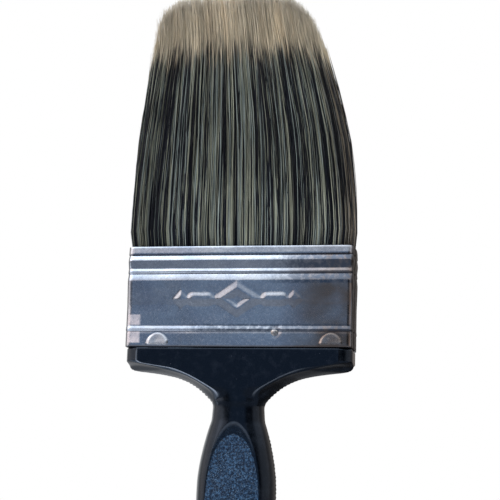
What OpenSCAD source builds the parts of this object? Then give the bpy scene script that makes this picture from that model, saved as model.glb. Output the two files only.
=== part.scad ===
// Flat wall brush: moulded handle, folded tinplate ferrule, two banks of
// tapered synthetic filaments set in resin round two spacer plugs.
// The origin is the middle of the hanging hole: +Z runs from there to the
// filament tips, +X across the width, the marked face looks towards -Y.

/* [Brush] */
// Width of the filament pack inside the ferrule of a 75 mm brush
brush_w = 73.6; // [60:0.1:90]
// Thickness of the filament pack inside the ferrule
pack_t = 14.5; // [13:0.5:18]
// Length of filament that stands out of the ferrule at the middle
filament_len = 88; // [65:1:100]
// Half thickness of the filament head where it is fullest
head_half_t = 8.6; // [8:0.1:9.5]
// Half thickness of the filament head at its chisel tip
tip_half_t = 3.2; // [2:0.1:5]

/* [Ferrule] */
// Height of the ferrule
ferrule_h = 33; // [28:0.5:40]
// Thickness of the tinplate
sheet_t = 0.5; // [0.4:0.05:0.6]
// Outside radius of the ferrule's upright corners
corner_r = 2; // [1.5:0.1:3]
// How far the wide rolled bead stands proud
bead_out = 0.45; // [0.2:0.05:0.6]
// How far the embossed panel mark stands proud
emboss_out = 0.3; // [0.2:0.05:0.5]

/* [Handle] */
// Length of the handle below the ferrule
handle_len = 136; // [125:1:150]
// Length of the tenon inside the ferrule
tenon_len = 12; // [10:0.5:14]
// Width of the round neck under the shoulder
neck_w = 16.8; // [15:0.1:20]
// Width of the palm swell
swell_w = 25.9; // [22:0.1:30]
// Thickness of the palm swell
swell_t = 18.8; // [16:0.1:22]
// Depth of the thumb dish in each face
dish_depth = 1.6; // [0.5:0.1:2.2]
// Radius of the hanging hole
hang_r = 3.5; // [2.5:0.1:4]
// Height of the hanging hole above the butt end
hang_z = 13; // [12:0.5:16]

/* [Fixings] */
// Radius of the ferrule nail's shank
nail_r = 0.6; // [0.5:0.05:0.8]
// Radius of the ferrule nail's domed head
nail_head_r = 1.15; // [0.9:0.05:1.5]
// Length of the ferrule nail
nail_len = 6.5; // [5:0.5:6.5]
// Width of each spacer plug
plug_w = 22; // [16:1:24]
// Thickness of each spacer plug
plug_t = 4.5; // [3:0.5:6]

/* [Hidden] */
$fn = 64;
e = 0.05;                                  // running gap between set pieces
zf = handle_len - hang_z;                  // lower edge of the ferrule
zm = zf + ferrule_h;                       // mouth of the ferrule
fw = brush_w + 2 * sheet_t;                // ferrule width outside
ft = pack_t + 2 * sheet_t;                 // ferrule thickness outside
inner_r = corner_r - sheet_t;
assert(inner_r > 0.5, "corner_r must exceed sheet_t by 0.5");
resin_z = zf + tenon_len + e;              // resin fills from the tenon up
resin_h = 8;
pack_z = resin_z + resin_h + e;            // filaments show above the resin
plug_h = 11;
plug_x = brush_w * 0.24;
nail_x = 12.4;
nail_z = zf + 4.6;
crimp_x = [-28, 29];
wedge = 27.5;                              // slope cut under the flexing head
lift = 0.35;

// Handle stations, measured down from the ferrule:
// [drop, half width, half depth, squareness of the section]
fh = fw / 2;
HANDLE = [
    [0.2,   fh,          7.6,  9],
    [4.6,   fh,          7.6,  9],
    [5.8,   fh - 0.4,    7.6,  9],
    [6.5,   fh - 1.1,    7.6,  9],
    [7.0,   fh - 2.6,    7.6,  9],
    [7.4,   fh - 5,      7.6,  9],
    [7.8,   fh - 8.4,    7.6,  8],
    [8.3,   fh - 12,     7.6,  8],
    [8.9,   fh - 15.2,   7.6,  8],
    [10.2,  fh - 19.4,   7.6,  7],
    [11.3,  fh - 21.7,   7.6,  6.4],
    [12.6,  fh - 23.7,   7.6,  5.4],
    [14,    fh - 25.4,   7.6,  4.4],
    [15.3,  fh - 26.7,   7.6,  3.6],
    [17.6,  neck_w/2 + 0.3, 7.6, 2.6],
    [20,    neck_w/2,    7.6,  2.4],
    [23,    neck_w/2 + 0.15, 7.6, 2.3],
    [28,    swell_w/2 - 3.4, 7.9, 2.3],
    [33,    swell_w/2 - 2, swell_t/2 - 0.9, 2.4],
    [41,    swell_w/2 - 0.35, swell_t/2 - 0.15, 2.5],
    [47.5,  swell_w/2,   swell_t/2, 2.5],
    [56,    swell_w/2 - 0.6, swell_t/2 - 0.1, 2.5],
    [68,    swell_w/2 - 2.4, swell_t/2 - 0.7, 2.5],
    [82,    swell_w/2 - 4.2, swell_t/2 - 1.5, 2.4],
    [97,    swell_w/2 - 4.9, swell_t/2 - 2.1, 2.4],
    [110,   swell_w/2 - 4.1, swell_t/2 - 2.5, 2.5],
    [handle_len - 15, swell_w/2 - 2.9, swell_t/2 - 2.7, 2.6],
    [handle_len - 7,  swell_w/2 - 3.3, swell_t/2 - 3.0, 2.6],
    [handle_len - 3,  swell_w/2 - 4.9, swell_t/2 - 3.8, 2.5],
    [handle_len - 0.9, swell_w/2 - 7.3, swell_t/2 - 5.2, 2.3],
    [handle_len,      swell_w/2 - 9.9, swell_t/2 - 7.2, 2.2]];
dish_drop = 49;                            // centre of the thumb dish
dish_half_l = 23.5;
dish_half_w = 9.2;

// Filament head stations, measured up from the mouth as a share of the
// length: [share, half width, half depth]
bw = brush_w / 2;
HEAD = [
    [0,     bw - 0.1,  pack_t/2 - 0.1],
    [0.05,  bw + 0.5,  pack_t/2 + 0.1],
    [0.12,  bw + 0.8,  pack_t/2 + 0.4],
    [0.25,  bw + 0.5,  head_half_t - 0.3],
    [0.38,  bw - 0.5,  head_half_t],
    [0.5,   bw - 2.0,  head_half_t - 0.1],
    [0.6,   bw - 3.9,  head_half_t - 0.4],
    [0.7,   bw - 6.0,  head_half_t - 1.0],
    [0.79,  bw - 8.2,  head_half_t - 1.9],
    [0.87,  bw - 10.5, tip_half_t + 2.5],
    [0.92,  bw - 12.8, tip_half_t + 1.6],
    [0.955, bw - 15.6, tip_half_t + 0.9],
    [0.985, bw - 20.2, tip_half_t + 0.3],
    [1,     bw - 27,   tip_half_t]];

// ---- helpers ----------------------------------------------------------
function seg(t, x, i = 0) =
    (i >= len(t) - 2 || x <= t[i + 1][0]) ? i : seg(t, x, i + 1);
function run(t, i, c) = (t[i + 1][c] - t[i][c]) / (t[i + 1][0] - t[i][0]);
function slope(t, i, c) =
    i == 0 ? run(t, 0, c) :
    i == len(t) - 1 ? run(t, i - 1, c) :
    let (p = run(t, i - 1, c), q = run(t, i, c))
    p * q <= 0 ? 0 : 2 * p * q / (p + q);
// monotone cubic through a table of stations
function at(t, x, c) =
    let (i = seg(t, x), h = t[i + 1][0] - t[i][0], u = (x - t[i][0]) / h)
    (2*u*u*u - 3*u*u + 1) * t[i][c] + (u*u*u - 2*u*u + u) * h * slope(t, i, c)
    + (3*u*u - 2*u*u*u) * t[i + 1][c] + (u*u*u - u*u) * h * slope(t, i + 1, c);
function sgn(x) = x < 0 ? -1 : 1;
function super(t, a, b, n) =
    [a * sgn(cos(t)) * pow(abs(cos(t)), 2 / n),
     b * sgn(sin(t)) * pow(abs(sin(t)), 2 / n)];
// every station plus points between, at most gap apart
function levels(t, gap) = concat(
    [for (i = [0 : len(t) - 2])
        let (k = ceil((t[i + 1][0] - t[i][0]) / gap))
        for (j = [0 : k - 1]) t[i][0] + (t[i + 1][0] - t[i][0]) * j / k],
    [t[len(t) - 1][0]]);
// closed skin over rings of equal length, the last ring uppermost
module skin(rings) {
    n = len(rings[0]);
    m = len(rings);
    polyhedron(
        points = [for (r = rings) for (p = r) p],
        faces = concat(
            [[for (i = [0 : n - 1]) i]],
            [[for (i = [n - 1 : -1 : 0]) (m - 1) * n + i]],
            [for (k = [0 : m - 2]) for (i = [0 : n - 1])
                [k * n + i, (k + 1) * n + i, k * n + (i + 1) % n]],
            [for (k = [0 : m - 2]) for (i = [0 : n - 1])
                [k * n + (i + 1) % n, (k + 1) * n + i,
                 (k + 1) * n + (i + 1) % n]]));
}
module rounded(w, t, r) {
    square([w - 2 * r, t], center = true);
    square([w, t - 2 * r], center = true);
    for (x = [-1, 1]) for (y = [-1, 1])
        translate([x * (w / 2 - r), y * (t / 2 - r)]) circle(r);
}
module block(z, h, w, t, r) {
    translate([0, 0, z]) linear_extrude(h) rounded(w, t, r);
}
module across(x, z, r, l) {                 // rod along Y, starting at -Y
    translate([x, 0, z]) rotate([90, 0, 0]) cylinder(r = r, h = l);
}

// ---- handle -----------------------------------------------------------
function dish(x, drop) =
    let (q = 1 - pow(x / dish_half_w, 2)
             - pow((drop - dish_drop) / dish_half_l, 2))
    q > 0 ? dish_depth * (1 - pow(1 - q, 1.5)) : 0;
HN = 32;
function handle_ring(d) =
    let (a = at(HANDLE, d, 1), b = at(HANDLE, d, 2), n = at(HANDLE, d, 3))
    [for (i = [0 : HN - 1])
        let (p = super((i + 0.5) * 360 / HN, a, b, n),
             y = abs(p[1]) > 2 ? p[1] - sgn(p[1]) * dish(p[0], d) : p[1])
        [p[0], y, zf - d]];
module handle() {
    color("#17181d") difference() {
        union() {
            levs = levels(HANDLE, 5);
            skin([for (i = [len(levs) - 1 : -1 : 0]) handle_ring(levs[i])]);
            block(zf - 1, tenon_len + 1, brush_w - 2 * e, pack_t - 2 * e,
                  inner_r - e);
        }
        translate([0, 30, 0]) rotate([90, 0, 0])
            cylinder(r = hang_r, h = 60);
        nail_pocket(1);
        nail_pocket(-1);
    }
}
module nail_pocket(side) {
    rotate([0, 0, side > 0 ? 0 : 180]) {
        translate([0, -(ft / 2 - nail_len - 0.4), 0])
            across(nail_x, nail_z, nail_r + e, nail_len + 2);
        // room for the head where it crosses the small ridge
        translate([0, -ft / 2, 0])
            across(nail_x, nail_z, nail_head_r + e, 3);
    }
}

// ---- ferrule ----------------------------------------------------------
module band(z, h, out) {
    block(z, h, fw + 2 * out, ft + 2 * out, corner_r + out);
}
module bead(z, h, out) {
    band(z, h, out * 0.55);
    band(z + h * 0.16, h * 0.68, out * 0.85);
    band(z + h * 0.3, h * 0.4, out);
}
module lozenge(x, w, h, t) {
    translate([x, -ft / 2 + 0.02, zf + 15.5]) rotate([90, 0, 0])
        linear_extrude(t + 0.02)
            polygon([[-w / 2, 0], [0, -h / 2], [w / 2, 0], [0, h / 2]]);
}
module bar(x, w, h, t) {
    translate([x, -ft / 2 + 0.02, zf + 15.5]) rotate([90, 0, 0])
        linear_extrude(t + 0.02) {
            square([w - h, h], center = true);
            for (s = [-1, 1]) translate([s * (w - h) / 2, 0]) circle(h / 2);
        }
}
module ferrule() {
    color("#b9bec6") difference() {
        union() {
            band(zf, ferrule_h, 0);
            band(zm - 2.1, 2.1, bead_out * 0.3);
            bead(zm - 7.0, 4.4, bead_out * 1.5);
            bead(zm - 8.4, 1.2, bead_out * 0.8);
            bead(zm - 11.9, 3.1, bead_out * 1.3);
            bead(zf + 5.3, 1.5, bead_out * 0.6);
            // generic embossed panel mark: a lozenge between rounded bars
            lozenge(0, 15, 9, emboss_out);
            for (s = [-1, 1]) {
                bar(s * 12.5, 6.5, 2.6, emboss_out);
                lozenge(s * 18.2, 3.2, 3.2, emboss_out);
            }
            // lapped seam on one narrow side
            translate([fw / 2 - 0.1, -2.6, zf]) cube([0.4, 5.2, ferrule_h]);
        }
        block(zf - 1, ferrule_h + 2, brush_w, pack_t, inner_r);
        for (x = crimp_x) for (s = [0, 180]) rotate([0, 0, s])
            intersection() {
                translate([x, -ft / 2 + 0.22, zf + 0.4]) rotate([90, 0, 0])
                    cylinder(r = 3.5, h = 2);
                translate([x - 5, -ft / 2 - 3, zf + 0.4]) cube([10, 6, 5]);
            }
        nail_pocket(1);
        nail_pocket(-1);
    }
}

// ---- nails ------------------------------------------------------------
module nail() {
    across(0, 0, nail_r, nail_len + 0.1);
    translate([0, -nail_len - 0.01, 0]) rotate([90, 0, 0])
        rotate_extrude() intersection() {
            translate([0, -1.6]) circle(nail_head_r + 0.9);
            square([nail_head_r, 1]);
        }
}
module ferrule_nail_front() {
    color("#c9ccd2") translate([nail_x, -(ft / 2 - nail_len) , nail_z]) nail();
}
module ferrule_nail_rear() {
    color("#c9ccd2") rotate([0, 0, 180])
        translate([nail_x, -(ft / 2 - nail_len), nail_z]) nail();
}

// ---- inside the ferrule -----------------------------------------------
module resin_set() {
    color("#c8a860") block(resin_z, resin_h, brush_w - 2 * e, pack_t - 2 * e,
                           inner_r - e);
}
module plug(x) {
    translate([x - plug_w / 2, -plug_t / 2, pack_z])
        cube([plug_w, plug_t, plug_h]);
}
module spacer_plug_left() { color("#c79a62") plug(-plug_x); }
module spacer_plug_right() { color("#c79a62") plug(plug_x); }
module plug_pocket(x) {
    translate([x - plug_w / 2 - e, -plug_t / 2 - e, pack_z - 1])
        cube([plug_w + 2 * e, plug_t + 2 * e, plug_h + 1 + e]);
}
module root_bank() {
    difference() {
        intersection() {
            block(pack_z, zm - pack_z - 0.3, brush_w - 2 * e, pack_t - 2 * e,
                  inner_r - e);
            translate([-100, -20 - e, 0]) cube([200, 20, 400]);
        }
        plug_pocket(-plug_x);
        plug_pocket(plug_x);
    }
}
module root_bank_front() { color("#3d3a30") root_bank(); }
module root_bank_rear() { color("#3d3a30") rotate([0, 0, 180]) root_bank(); }

// ---- flexing filament head --------------------------------------------
BN = 18;
// one ring of a bank: a half section on the -Y side with a flat inner face;
// the lowest rings slope up away from the hinge line at the mouth
function bank_ring(u) =
    let (a = at(HEAD, u, 1), b = at(HEAD, u, 2),
         pts = [for (i = [0 : BN - 1])
                   super(180 + i * 180 / (BN - 1), a, b, 3.6)])
    [for (p = pts)
        let (y = min(p[1], -0.15), z0 = lift - y * tan(wedge))
        [p[0], y, zm + z0 + (filament_len - z0) * u]];
module bank() {
    levs = levels(HEAD, 0.08);
    skin([for (v = levs) bank_ring(v)]);
}
module filament_bank_front() { color("#6c6650") bank(); }
module filament_bank_rear() { color("#6c6650") rotate([0, 0, 180]) bank(); }

handle();
ferrule();
ferrule_nail_front();
ferrule_nail_rear();
resin_set();
spacer_plug_left();
spacer_plug_right();
root_bank_front();
root_bank_rear();
filament_bank_front();
filament_bank_rear();
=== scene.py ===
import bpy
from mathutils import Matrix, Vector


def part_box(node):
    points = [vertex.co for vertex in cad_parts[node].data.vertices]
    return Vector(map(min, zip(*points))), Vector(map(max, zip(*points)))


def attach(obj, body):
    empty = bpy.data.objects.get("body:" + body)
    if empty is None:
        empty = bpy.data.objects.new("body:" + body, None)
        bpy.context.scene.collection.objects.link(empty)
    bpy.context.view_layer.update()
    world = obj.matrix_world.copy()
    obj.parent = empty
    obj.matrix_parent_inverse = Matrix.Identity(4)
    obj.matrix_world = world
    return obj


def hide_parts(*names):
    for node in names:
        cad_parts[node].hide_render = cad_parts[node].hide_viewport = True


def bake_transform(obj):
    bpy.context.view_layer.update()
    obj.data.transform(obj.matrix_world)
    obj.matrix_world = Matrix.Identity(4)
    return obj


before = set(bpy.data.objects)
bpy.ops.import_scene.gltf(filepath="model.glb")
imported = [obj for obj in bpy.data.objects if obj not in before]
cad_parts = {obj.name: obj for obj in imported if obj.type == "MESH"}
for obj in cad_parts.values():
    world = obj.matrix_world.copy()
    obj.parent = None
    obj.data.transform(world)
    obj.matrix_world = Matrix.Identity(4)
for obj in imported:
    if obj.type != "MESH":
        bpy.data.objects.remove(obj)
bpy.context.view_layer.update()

import math
import bpy
import numpy as np
from mathutils import Matrix, Vector

MM = 0.001

# ---------------------------------------------------------------- places
# heights in millimetres in the row frame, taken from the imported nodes
_lo, _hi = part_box("ferrule")
ZF = round(_lo.z / MM, 3)                     # lower edge of the ferrule
ZM = round(_hi.z / MM, 3)                     # mouth of the ferrule
ZT = round(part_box("filament_bank_front")[1].z / MM, 3)
ZB = round(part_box("handle")[0].z / MM, 3)
LEN = ZT - ZM
FW, FT = 74.6, 15.5                           # plain outside of the tinplate
_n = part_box("ferrule_nail_front")
NAIL = ((_n[0].x + _n[1].x) / 2 / MM, (_n[0].z + _n[1].z) / 2 / MM - ZF)


# ---------------------------------------------------------------- camera
def make_camera():
    yaw, pitch, roll = (math.radians(v) for v in (10.867, 11.482, 1.681))
    aim = Vector((3.717, -8.0, 154.58)) * MM
    back = Vector((math.sin(yaw) * math.cos(pitch),
                   -math.cos(yaw) * math.cos(pitch), -math.sin(pitch)))
    right = (-back).cross(Vector((0, 0, 1))).normalized()
    up = right.cross(-back)
    x = right * math.cos(roll) + up * math.sin(roll)
    y = -right * math.sin(roll) + up * math.cos(roll)
    data = bpy.data.cameras.new("camera")
    data.lens, data.sensor_width, data.sensor_fit = 99.52, 36.0, "HORIZONTAL"
    data.clip_start, data.clip_end = 0.01, 50
    cam = bpy.data.objects.new("camera", data)
    cam.matrix_world = Matrix((
        (x.x, y.x, back.x, 0), (x.y, y.y, back.y, 0), (x.z, y.z, back.z, 0),
        (0, 0, 0, 1)))
    cam.location = aim + back * 0.45
    bpy.context.scene.collection.objects.link(cam)
    bpy.context.scene.camera = cam


make_camera()
scene = bpy.context.scene
scene.view_settings.view_transform = "Standard"
scene.view_settings.look = "None"
scene.view_settings.exposure = 0.0
scene.view_settings.gamma = 1.0


# ---------------------------------------------------------------- helpers
def lin(r, g, b):
    """An sRGB colour in 0..255 as linear RGB."""
    def f(v):
        v /= 255.0
        return v / 12.92 if v <= 0.04045 else ((v + 0.055) / 1.055) ** 2.4
    return (f(r), f(g), f(b))


def smooth(x, a, b):
    t = np.clip((np.asarray(x, float) - a) / (b - a), 0, 1)
    return t * t * (3 - 2 * t)


def spline(table, x):
    """Monotone cubic through rows [x, value]."""
    t = np.asarray(table, float)
    X, Y = t[:, 0], t[:, 1]
    h = np.diff(X)
    d = np.diff(Y) / h
    m = np.zeros(len(X))
    m[0], m[-1] = d[0], d[-1]
    for i in range(1, len(X) - 1):
        m[i] = 0 if d[i - 1] * d[i] <= 0 else 2 * d[i - 1] * d[i] / (d[i - 1] + d[i])
    x = np.clip(np.asarray(x, float), X[0], X[-1])
    i = np.clip(np.searchsorted(X, x, side="right") - 1, 0, len(X) - 2)
    u = (x - X[i]) / h[i]
    return ((2 * u**3 - 3 * u**2 + 1) * Y[i] + (u**3 - 2 * u**2 + u) * h[i] * m[i]
            + (3 * u**2 - 2 * u**3) * Y[i + 1] + (u**3 - u**2) * h[i] * m[i + 1])


def noise1(seed, n=512):
    """A smooth periodic random function of one number, roughly -1..1."""
    v = np.random.default_rng(seed).uniform(-1, 1, n)

    def f(x):
        x = np.asarray(x, float)
        i = np.floor(x).astype(int)
        t = x - i
        t = t * t * (3 - 2 * t)
        return v[i % n] * (1 - t) + v[(i + 1) % n] * t
    return f


def new_mesh(name, co, faces, smooth_faces=True):
    me = bpy.data.meshes.new(name)
    me.from_pydata(co.tolist() if hasattr(co, "tolist") else co, [], faces)
    me.update()
    if smooth_faces:
        me.polygons.foreach_set("use_smooth", np.ones(len(me.polygons), bool))
    ob = bpy.data.objects.new(name, me)
    scene.collection.objects.link(ob)
    return ob


def strip_faces(rows, cols, wrap, base=0, flip=False):
    f = []
    for r in range(rows - 1):
        for c in range(cols if wrap else cols - 1):
            a = base + r * cols + c
            b = base + r * cols + (c + 1) % cols
            q = (a, b, b + cols, a + cols)
            f.append(q[::-1] if flip else q)
    return f


# ---------------------------------------------------------------- materials
class Tree:
    """A node tree with short calls."""

    def __init__(self, name):
        self.mat = bpy.data.materials.new(name)
        self.mat.use_nodes = True
        self.nt = self.mat.node_tree
        self.nt.nodes.clear()
        self.out = self.nt.nodes.new("ShaderNodeOutputMaterial")
        self.bsdf = self.nt.nodes.new("ShaderNodeBsdfPrincipled")
        self.nt.links.new(self.bsdf.outputs[0], self.out.inputs[0])
        self.pos = self.nt.nodes.new("ShaderNodeTexCoord").outputs["Object"]

    def link(self, a, b):
        self.nt.links.new(a, b)

    def put(self, socket, v):
        if isinstance(v, bpy.types.NodeSocket):
            self.link(v, socket)
        else:
            socket.default_value = v

    def scaled(self, x, y, z):
        n = self.nt.nodes.new("ShaderNodeMapping")
        n.inputs["Scale"].default_value = (x, y, z)
        self.link(self.pos, n.inputs["Vector"])
        return n.outputs[0]

    def noise(self, scale, detail=3, rough=0.5, vec=None, distort=0.0):
        n = self.nt.nodes.new("ShaderNodeTexNoise")
        n.inputs["Scale"].default_value = scale
        n.inputs["Detail"].default_value = detail
        n.inputs["Roughness"].default_value = rough
        n.inputs["Distortion"].default_value = distort
        self.link(vec or self.pos, n.inputs["Vector"])
        return n.outputs["Fac"]

    def voronoi(self, scale, vec=None, feature="F1", out="Distance"):
        n = self.nt.nodes.new("ShaderNodeTexVoronoi")
        n.feature = feature
        n.inputs["Scale"].default_value = scale
        self.link(vec or self.pos, n.inputs["Vector"])
        return n.outputs[out]

    def ramp(self, fac, stops):
        n = self.nt.nodes.new("ShaderNodeValToRGB")
        el = n.color_ramp.elements
        while len(el) > 1:
            el.remove(el[0])
        for i, (p, c) in enumerate(stops):
            e = el[0] if i == 0 else el.new(p)
            e.position = p
            c = (c, c, c) if not isinstance(c, (tuple, list)) else c
            e.color = (*c[:3], 1)
        self.link(fac, n.inputs[0])
        return n.outputs[0]

    def mix(self, kind, fac, a, b):
        n = self.nt.nodes.new("ShaderNodeMix")
        n.data_type, n.blend_type = "RGBA", kind
        self.put(n.inputs[0], fac)
        for s, v in ((n.inputs[6], a), (n.inputs[7], b)):
            self.put(s, (*v, 1) if isinstance(v, tuple) else v)
        return n.outputs[2]

    def math(self, op, a, b=0.0, clamp=False):
        n = self.nt.nodes.new("ShaderNodeMath")
        n.operation, n.use_clamp = op, clamp
        self.put(n.inputs[0], a)
        self.put(n.inputs[1], b)
        return n.outputs[0]

    def attr(self, name, what="Fac"):
        n = self.nt.nodes.new("ShaderNodeAttribute")
        n.attribute_name = name
        return n.outputs[what]

    def bump(self, height, strength, distance, normal=None):
        n = self.nt.nodes.new("ShaderNodeBump")
        n.inputs["Strength"].default_value = strength
        n.inputs["Distance"].default_value = distance
        self.link(height, n.inputs["Height"])
        if normal is not None:
            self.link(normal, n.inputs["Normal"])
        return n.outputs[0]

    def set(self, **kw):
        names = {"color": "Base Color", "rough": "Roughness", "metal": "Metallic",
                 "spec": "Specular IOR Level", "normal": "Normal", "ior": "IOR",
                 "coat": "Coat Weight", "coat_rough": "Coat Roughness",
                 "sheen": "Sheen Weight", "aniso": "Anisotropic"}
        for k, v in kw.items():
            self.put(self.bsdf.inputs[names[k]], (*v, 1) if isinstance(v, tuple) else v)
        return self.mat


def filament_material():
    t = Tree("filament")
    fine = t.noise(900, 2, 0.6, t.scaled(1, 1, 0.08))
    fleck = t.noise(260, 3, 0.6, t.scaled(1, 1, 0.25))
    tint = t.mix("MULTIPLY", 1.0, t.attr("strand_colour", "Color"),
                 t.ramp(fine, [(0.3, 0.86), (0.7, 1.12)]))
    tint = t.mix("MULTIPLY", 1.0, tint, t.ramp(fleck, [(0.3, 0.86), (0.7, 1.12)]))
    patch = t.noise(110, 2, 0.5, t.scaled(1, 1, 0.30))
    tint = t.mix("MULTIPLY", 1.0, tint, t.ramp(patch, [(0.34, 0.76), (0.64, 1.16)]))
    return t.set(color=tint, rough=t.ramp(fleck, [(0.3, 0.36), (0.7, 0.52)]), spec=0.42)


def tinplate_material():
    t = Tree("tinplate")
    brushed = t.noise(300, 4, 0.65, t.scaled(0.16, 1, 1))
    speck = t.noise(1300, 2, 0.6)
    cloud = t.noise(75, 4, 0.6, None, 0.6)
    painted_glint = t.attr("painted_glint", "Fac")
    brown_tint_and_shade = t.attr("brown_tint_and_shade", "Fac")
    base = t.mix("MIX", t.ramp(cloud, [(0.35, 0.0), (0.68, 1.0)]),
                 lin(204, 210, 218), lin(170, 180, 196))
    base = t.mix("MULTIPLY", 1.0, base, t.ramp(brushed, [(0.3, 0.90), (0.7, 1.05)]))
    base = t.mix("MULTIPLY", 1.0, base, t.ramp(speck, [(0.36, 0.88), (0.60, 1.04)]))
    # browner on the right half, and darker there as painted shade where the highlights fade
    base = t.mix("MIX", t.math("MULTIPLY", brown_tint_and_shade,
                 t.ramp(t.noise(110, 3), [(0.35, 0.55), (0.60, 1.0)])),
                 base, lin(136, 121, 111))
    # painted shade on the ribs and beads away from the left end
    base = t.mix("MIX", t.math("MULTIPLY", t.attr("painted_highlight_fade", "Fac"),
                 t.ramp(t.noise(650, 3), [(0.44, 1.0), (0.64, 0.35)])),
                 base, lin(92, 104, 120))
    # painted reflections in the crimps and a painted highlight line at the left corner, as lighter metal
    base = t.mix("MIX", t.math("MULTIPLY", painted_glint,
                 t.ramp(t.noise(500, 3), [(0.36, 0.15), (0.60, 0.6)])),
                 base, lin(226, 228, 230))
    # painted shade in the grooves and on the narrow sides, and a dark brown patch in one lower corner
    base = t.mix("MIX", t.math("MULTIPLY", t.attr("shade_and_dark_patch", "Fac"),
                 t.ramp(t.noise(420, 3), [(0.30, 0.86), (0.55, 1.0)])),
                 base, lin(44, 35, 31))
    # two painted window reflections at the lower left corner, pale and less metallic
    painted_window_reflection = t.math("MULTIPLY", t.attr("painted_window_reflection", "Fac"),
                  t.ramp(t.noise(330, 3), [(0.30, 0.55), (0.60, 1.0)]))
    base = t.mix("MIX", painted_window_reflection, base, lin(232, 222, 224))
    metal = t.math("SUBTRACT", 1.0, t.math("MULTIPLY", painted_window_reflection, 0.85))
    rough = t.mix("ADD", 1.0, t.ramp(cloud, [(0.25, 0.17), (0.75, 0.26)]),
                  t.ramp(speck, [(0.55, 0.0), (0.70, 0.10)]))
    rough = t.mix("ADD", 1.0, rough, t.math("MULTIPLY", t.attr("shade_and_dark_patch", "Fac"), 0.18))
    n = t.bump(brushed, 0.06, 0.0002)
    n = t.bump(speck, 0.07, 0.00010, n)
    n = t.bump(t.noise(85, 3), 0.40, 0.0006, n)
    return t.set(color=base, metal=metal, rough=rough, normal=n)


def plastic_material():
    t = Tree("handle_plastic")
    sep = t.nt.nodes.new("ShaderNodeSeparateXYZ")
    t.link(t.pos, sep.inputs[0])

    def oval(mid, hw, hl, power):
        """Below 1 inside an upright oval on the grip, 1 on its rim."""
        dd = t.math("DIVIDE", t.math("SUBTRACT", (ZF - mid) * MM, sep.outputs[2]), hl * MM)
        taper = t.math("SUBTRACT", 1.0, t.math("MULTIPLY", t.math("POWER", dd, 2.0), 0.10))
        x = t.math("DIVIDE", t.math("DIVIDE", sep.outputs[0], hw * MM), taper)
        return t.math("ADD", t.math("POWER", x, 2.0),
                      t.math("POWER", t.math("ABSOLUTE", dd), power)), dd

    k, dd = oval(49.0, 9.0, 25.2, 2.25)
    k2, _ = oval(52.2, 8.75, 24.4, 2.9)
    # the top of the dish is left dark as painted shade; the rest of the dish takes the painted sheen
    below = t.math("GREATER_THAN", dd, 0.25)
    painted_sheen = t.math("MAXIMUM", t.ramp(t.math("SUBTRACT", 1.0, k2), [(0.0, 0.10), (0.06, 1.0)]), below)
    dish = t.math("MULTIPLY", t.ramp(t.math("SUBTRACT", 1.0, k), [(0.0, 0.0), (0.05, 1.0)]), painted_sheen)
    # a painted highlight along the top of the dish rim
    dish_rim_highlight = t.math("MULTIPLY",
                 t.ramp(k, [(0.86, 0.0), (0.93, 1.0), (0.96, 1.0), (1.0, 0.0)]),
                 t.ramp(t.math("MULTIPLY", dd, -1.0), [(0.62, 0.0), (0.86, 0.13)]))
    grain = t.noise(1500, 2, 0.6)
    cells = t.voronoi(2300)
    blur = t.noise(1500, 3, 0.65)
    cloud = t.noise(70, 4, 0.6)
    dust = t.voronoi(620, None, "F1", "Distance")
    base = t.mix("MIX", t.ramp(cloud, [(0.3, 0.0), (0.7, 1.0)]),
                 lin(2, 3, 5), lin(4, 6, 10))
    base = t.mix("MIX", t.ramp(t.noise(380, 3, 0.6), [(0.50, 0.0), (0.72, 1.0)]),
                 base, lin(20, 23, 28))
    # painted bluish sheen in the dish, with painted glints on its grains
    painted_sheen = t.ramp(blur, [(0.36, lin(9, 22, 38)), (0.50, lin(24, 46, 70)),
                          (0.64, lin(62, 96, 128))])
    painted_sheen = t.mix("MIX", t.math("MULTIPLY", t.ramp(cells, [(0.03, 1.0), (0.26, 0.0)]),
                                t.ramp(t.noise(260, 2), [(0.35, 0.1), (0.65, 1.0)])),
                  painted_sheen, lin(160, 196, 226))
    base = t.mix("MIX", dish, base, painted_sheen)
    # painted highlights along the shoulder crease and along the top of the dish rim
    base = t.mix("MIX", t.math("MAXIMUM", t.attr("edge", "Fac"), dish_rim_highlight), base, lin(150, 160, 172))
    spots = t.math("MULTIPLY", t.ramp(dust, [(0.0, 1.0), (0.09, 0.0)]),
                   t.ramp(t.noise(300, 2), [(0.54, 0.0), (0.66, 1.0)]))
    base = t.mix("MIX", spots, base, lin(120, 126, 138))
    rough = t.mix("ADD", 1.0, t.ramp(grain, [(0.3, 0.15), (0.7, 0.22)]),
                  t.math("MULTIPLY", dish, 0.26))
    n = t.bump(grain, 0.14, 0.00010)
    n = t.bump(t.math("MULTIPLY", t.ramp(cells, [(0.0, 1.0), (0.6, 0.0)]), dish),
               0.60, 0.00022, n)
    n = t.bump(t.noise(45, 2), 0.22, 0.0006, n)
    t.bsdf.inputs["Specular Tint"].default_value = (0.62, 0.82, 1.12, 1)
    return t.set(color=base, rough=rough, spec=0.5, normal=n)


def steel_material():
    t = Tree("nail_steel")
    n1 = t.noise(1400, 3, 0.6)
    base = t.ramp(n1, [(0.3, lin(150, 146, 142)), (0.7, lin(214, 212, 210))])
    return t.set(color=base, metal=1.0, rough=t.ramp(n1, [(0.3, 0.26), (0.7, 0.5)]),
                 normal=t.bump(n1, 0.3, 0.0001))


def resin_material():
    t = Tree("resin")
    n1 = t.noise(160, 4, 0.6, None, 0.8)
    base = t.ramp(n1, [(0.3, lin(150, 112, 52)), (0.7, lin(196, 158, 92))])
    return t.set(color=base, rough=t.ramp(n1, [(0.3, 0.34), (0.7, 0.6)]), spec=0.4,
                 normal=t.bump(t.noise(500, 3), 0.3, 0.0003))


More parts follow.
